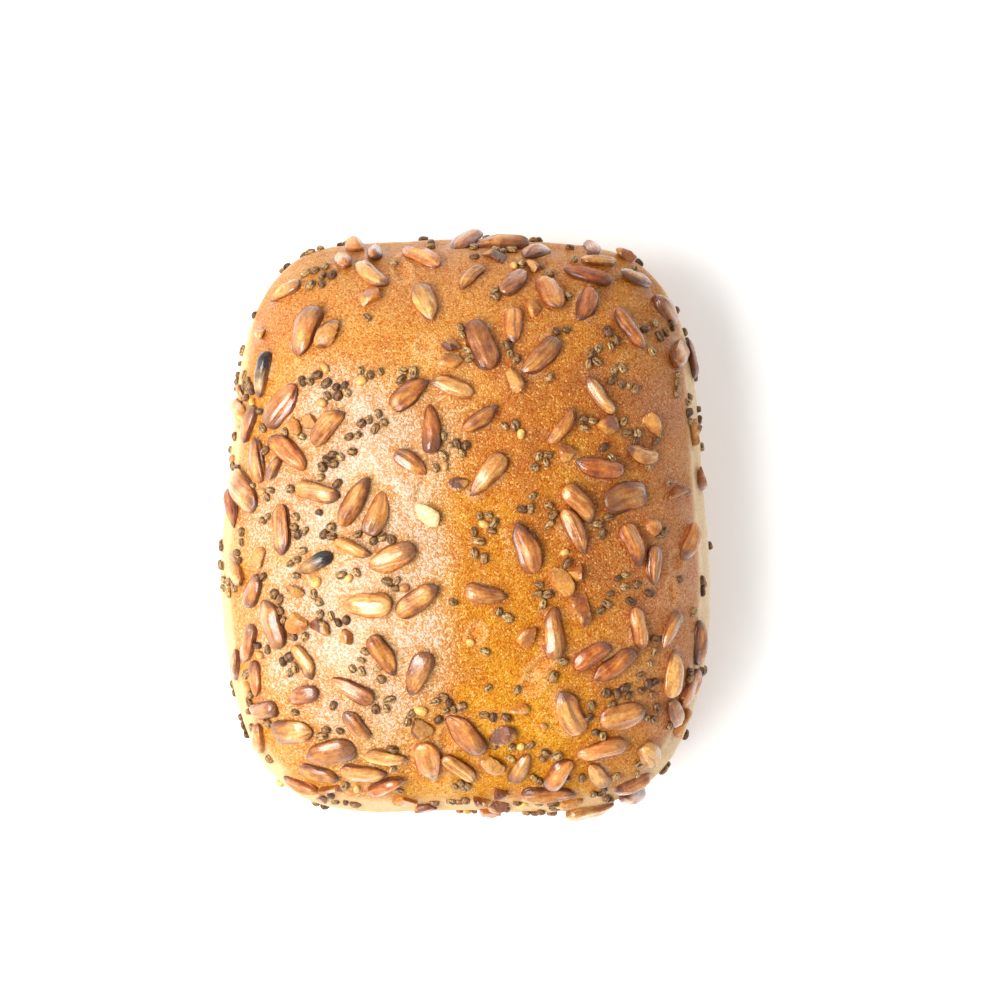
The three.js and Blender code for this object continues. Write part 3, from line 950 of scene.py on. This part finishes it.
def makeChipMaterial():
    shape = chipShape
    material, tree, surface, place = newMaterial("brokenKernel")
    blotch = noiseAt(tree, place, 520.0)
    toast = plus(tree, readValue(tree, "toast"), swing(tree, blotch, shape["blotchToast"]))
    colour = ramp(tree, toast, shape["baked"])
    colour = painted(tree, readValue(tree, "fresh"), colour, shape["fresh"])
    colour = blend(tree, readValue(tree, "blanched"), colour, shape["blanched"])
    height = dressSeed(tree, surface, place, colour, shape)
    connect(tree, surface, {"Coat Roughness": 0.12, "Normal": bump(tree, height, 0.4, 0.12)})
    return material


makeChips(makeChipMaterial())
print("kernel chips made")


seedShape = dict(rows=5, columns=10, boxy=0.85, waist=0.05, ribs=0.06, dents=0.06)
darkSeed = dict(
    plump=1.0, ribbed=1.0,
    body=[(0.0, 120, 78, 44), (0.4, 182, 134, 78), (1.0, 228, 186, 120)],
    vein=(0.9, 44, 24, 13), tips=(0.5, 84, 60, 46),
    toasted=(190, 170, 150), speckle=(3000.0, 0.7),
)
paleSeed = dict(
    plump=1.05, ribbed=0.2,
    body=[(0.0, 236, 196, 110), (0.6, 226, 178, 96), (1.0, 190, 132, 74)],
    toasted=(226, 186, 140), speckle=(2400.0, 0.8),
)


def makeSeeds(name, pieces, material, kind):
    # A little loaf-shaped seed: a rounded box, pinched slightly at its waist and dented,
    # whose points stand out and in by turns, which gives it ribs along its length.
    shape = seedShape
    station, turn = ringGrid(shape["rows"], shape["columns"])
    count = len(pieces)
    s, t = station[None], turn[None]

    def pick(low, high):
        return look.uniform(low, high, (count, 1))

    def boxed(wave):
        return np.sign(wave) * np.abs(wave) ** shape["boxy"]

    girth = np.clip(1 - s * s, 0, None) ** pick(0.36, 0.5) * (1 + pick(-0.15, 0.15) * s)
    rib = np.cos(shape["columns"] / 2 * t)
    dents = shape["dents"] * np.sin(2 * t + pick(0, 6.3) + 3 * s)
    swell = 1 - shape["waist"] * bell(s, 0.4) + dents + shape["ribs"] * kind["ribbed"] * rib
    plump = kind["plump"] * pick(0.86, 1.08) * girth * swell / 2
    aside = perPiece(pieces, "width") * plump * boxed(np.cos(t))
    above = grain["thickness"] * perPiece(pieces, "scale") * plump * boxed(np.sin(t))
    ahead = perPiece(pieces, "length") / 2 * pick(0.85, 1.1) * s
    points = stood(pieces, grain, ahead, aside, above)
    values = dict(tone=look.random((count, 1)), along=s, groove=0.5 - 0.5 * rib)
    uv = np.stack([t / (2 * pi) * 6 + pick(0, 50), s + pick(0, 50)], -1)
    makeDrops(name, shape, points, material, values, uv)


def makeDarkSeedMaterial():
    # olive tan, with dark veins that run along the seed between its ribs
    material, tree, surface, place = newMaterial("darkSeed")
    marbling = skinNoise(tree, (1.0, 0.7), scale=1.6, detail=3.0, roughness=0.6)
    vein = plus(tree, readValue(tree, "groove"), rescale(tree, marbling, 0.38, 0.62, -0.9, 0.7))
    net = addNode(tree, "TexVoronoi", {"Vector": place, "Scale": 1900.0},
                  feature="DISTANCE_TO_EDGE").outputs["Distance"]
    vein = calculate(tree, "MAXIMUM", rescale(tree, vein, 0.45, 0.95),
                     rescale(tree, net, 0.12, 0.03, 0.0, 0.6))
    colour = ramp(tree, readValue(tree, "tone"), darkSeed["body"])
    colour = painted(tree, vein, colour, darkSeed["vein"])
    tips = calculate(tree, "ABSOLUTE", readValue(tree, "along"))
    colour = painted(tree, rescale(tree, tips, 0.6, 1.0), colour, darkSeed["tips"])
    dressSeed(tree, surface, place, colour, darkSeed)
    connect(tree, surface, {
        "Roughness": 0.5, "Specular IOR Level": 0.3,
        "Coat Weight": 0.25, "Coat Roughness": 0.18,
        "Normal": bump(tree, calculate(tree, "SUBTRACT", 1.0, vein), 0.8, 0.1)})
    return material


def makePaleSeedMaterial():
    material, tree, surface, place = newMaterial("paleSeed")
    colour = ramp(tree, readValue(tree, "tone"), paleSeed["body"])
    height = dressSeed(tree, surface, place, colour, paleSeed)
    connect(tree, surface, {"Roughness": 0.38, "Coat Weight": 0.4, "Coat Roughness": 0.2,
                            "Normal": bump(tree, height, 0.3, 0.1)})
    return material


makeSeeds("darkSeeds", darkGrains, makeDarkSeedMaterial(), darkSeed)
makeSeeds("paleSeeds", paleGrains, makePaleSeedMaterial(), paleSeed)
print("small seeds made")


# floor, light and camera

studio = dict(
    floorSize=4000, floorTone=0.86, floorGlow=0.3,  # the table is faintly lit from below
    camera=(6.46, 4.85, 650), lens=120,
    softbox=dict(at=(-360, -110, 565), size=(600, 420), power=8.2, aim=(0, 0, 30)),
    surround=0.84,  # the room's own light
    leftToRight=(1.05, 0.75), nearToFar=(0.95, 1.3),
    ceiling=(0.5, 0.95),  # heights of the way up between which it dims
    ceilingShare=0.15,
)


def makeFloor():
    half = studio["floorSize"] / 2
    corners = np.array([[-half, -half, 0], [half, -half, 0], [half, half, 0], [-half, half, 0]])
    mesh = bpy.data.meshes.new("floor")
    mesh.from_pydata((corners * mm).tolist(), [], [(0, 1, 2, 3)])
    material, tree, surface = newMaterial("whiteTable")[:3]
    connect(tree, surface, {
        "Base Color": (*[studio["floorTone"]] * 3, 1), "Roughness": 0.9,
        "Specular IOR Level": 0.1, "Emission Color": (1, 1, 1, 1),
        "Emission Strength": studio["floorGlow"]})
    mesh.materials.append(material)
    floor = addObject("floor", mesh)


def makeSoftbox():
    box = studio["softbox"]
    light = bpy.data.lights.new("softbox", "AREA")
    light.shape, light.energy = "RECTANGLE", box["power"]
    light.size, light.size_y = [side * mm for side in box["size"]]
    lamp = addObject("softbox", light, box["at"])
    aim = Vector(box["aim"]) - Vector(box["at"])
    lamp.rotation_euler = aim.to_track_quat("-Z", "Y").to_euler()


def makeRoom():
    # a pale room, brighter on the left, whose ceiling, where the camera hangs, is dim
    world = bpy.data.worlds.new("paleRoom")
    world.use_nodes = True
    tree = world.node_tree
    way = addNode(tree, "SeparateXYZ", {
        0: addNode(tree, "TexCoord").outputs["Generated"]}).outputs
    light = rescale(tree, way["Z"], *studio["ceiling"], 1.0, studio["ceilingShare"])
    light = times(tree, light, rescale(tree, way["X"], -1.0, 1.0, *studio["leftToRight"]))
    light = times(tree, light, rescale(tree, way["Y"], -1.0, 1.0, *studio["nearToFar"]))
    connect(tree, tree.nodes["Background"], {
        "Color": (1, 1, 1, 1), "Strength": times(tree, light, studio["surround"])})
    bpy.context.scene.world = world


def makeCamera():
    lens = bpy.data.cameras.new("camera")
    lens.lens, lens.sensor_width = studio["lens"], 36
    lens.clip_start, lens.clip_end = 0.01, 10
    bpy.context.scene.camera = addObject("camera", lens, studio["camera"])
    bpy.context.scene.view_settings.view_transform = "Standard"


makeFloor()
makeSoftbox()
makeRoom()
makeCamera()
print("studio ready")
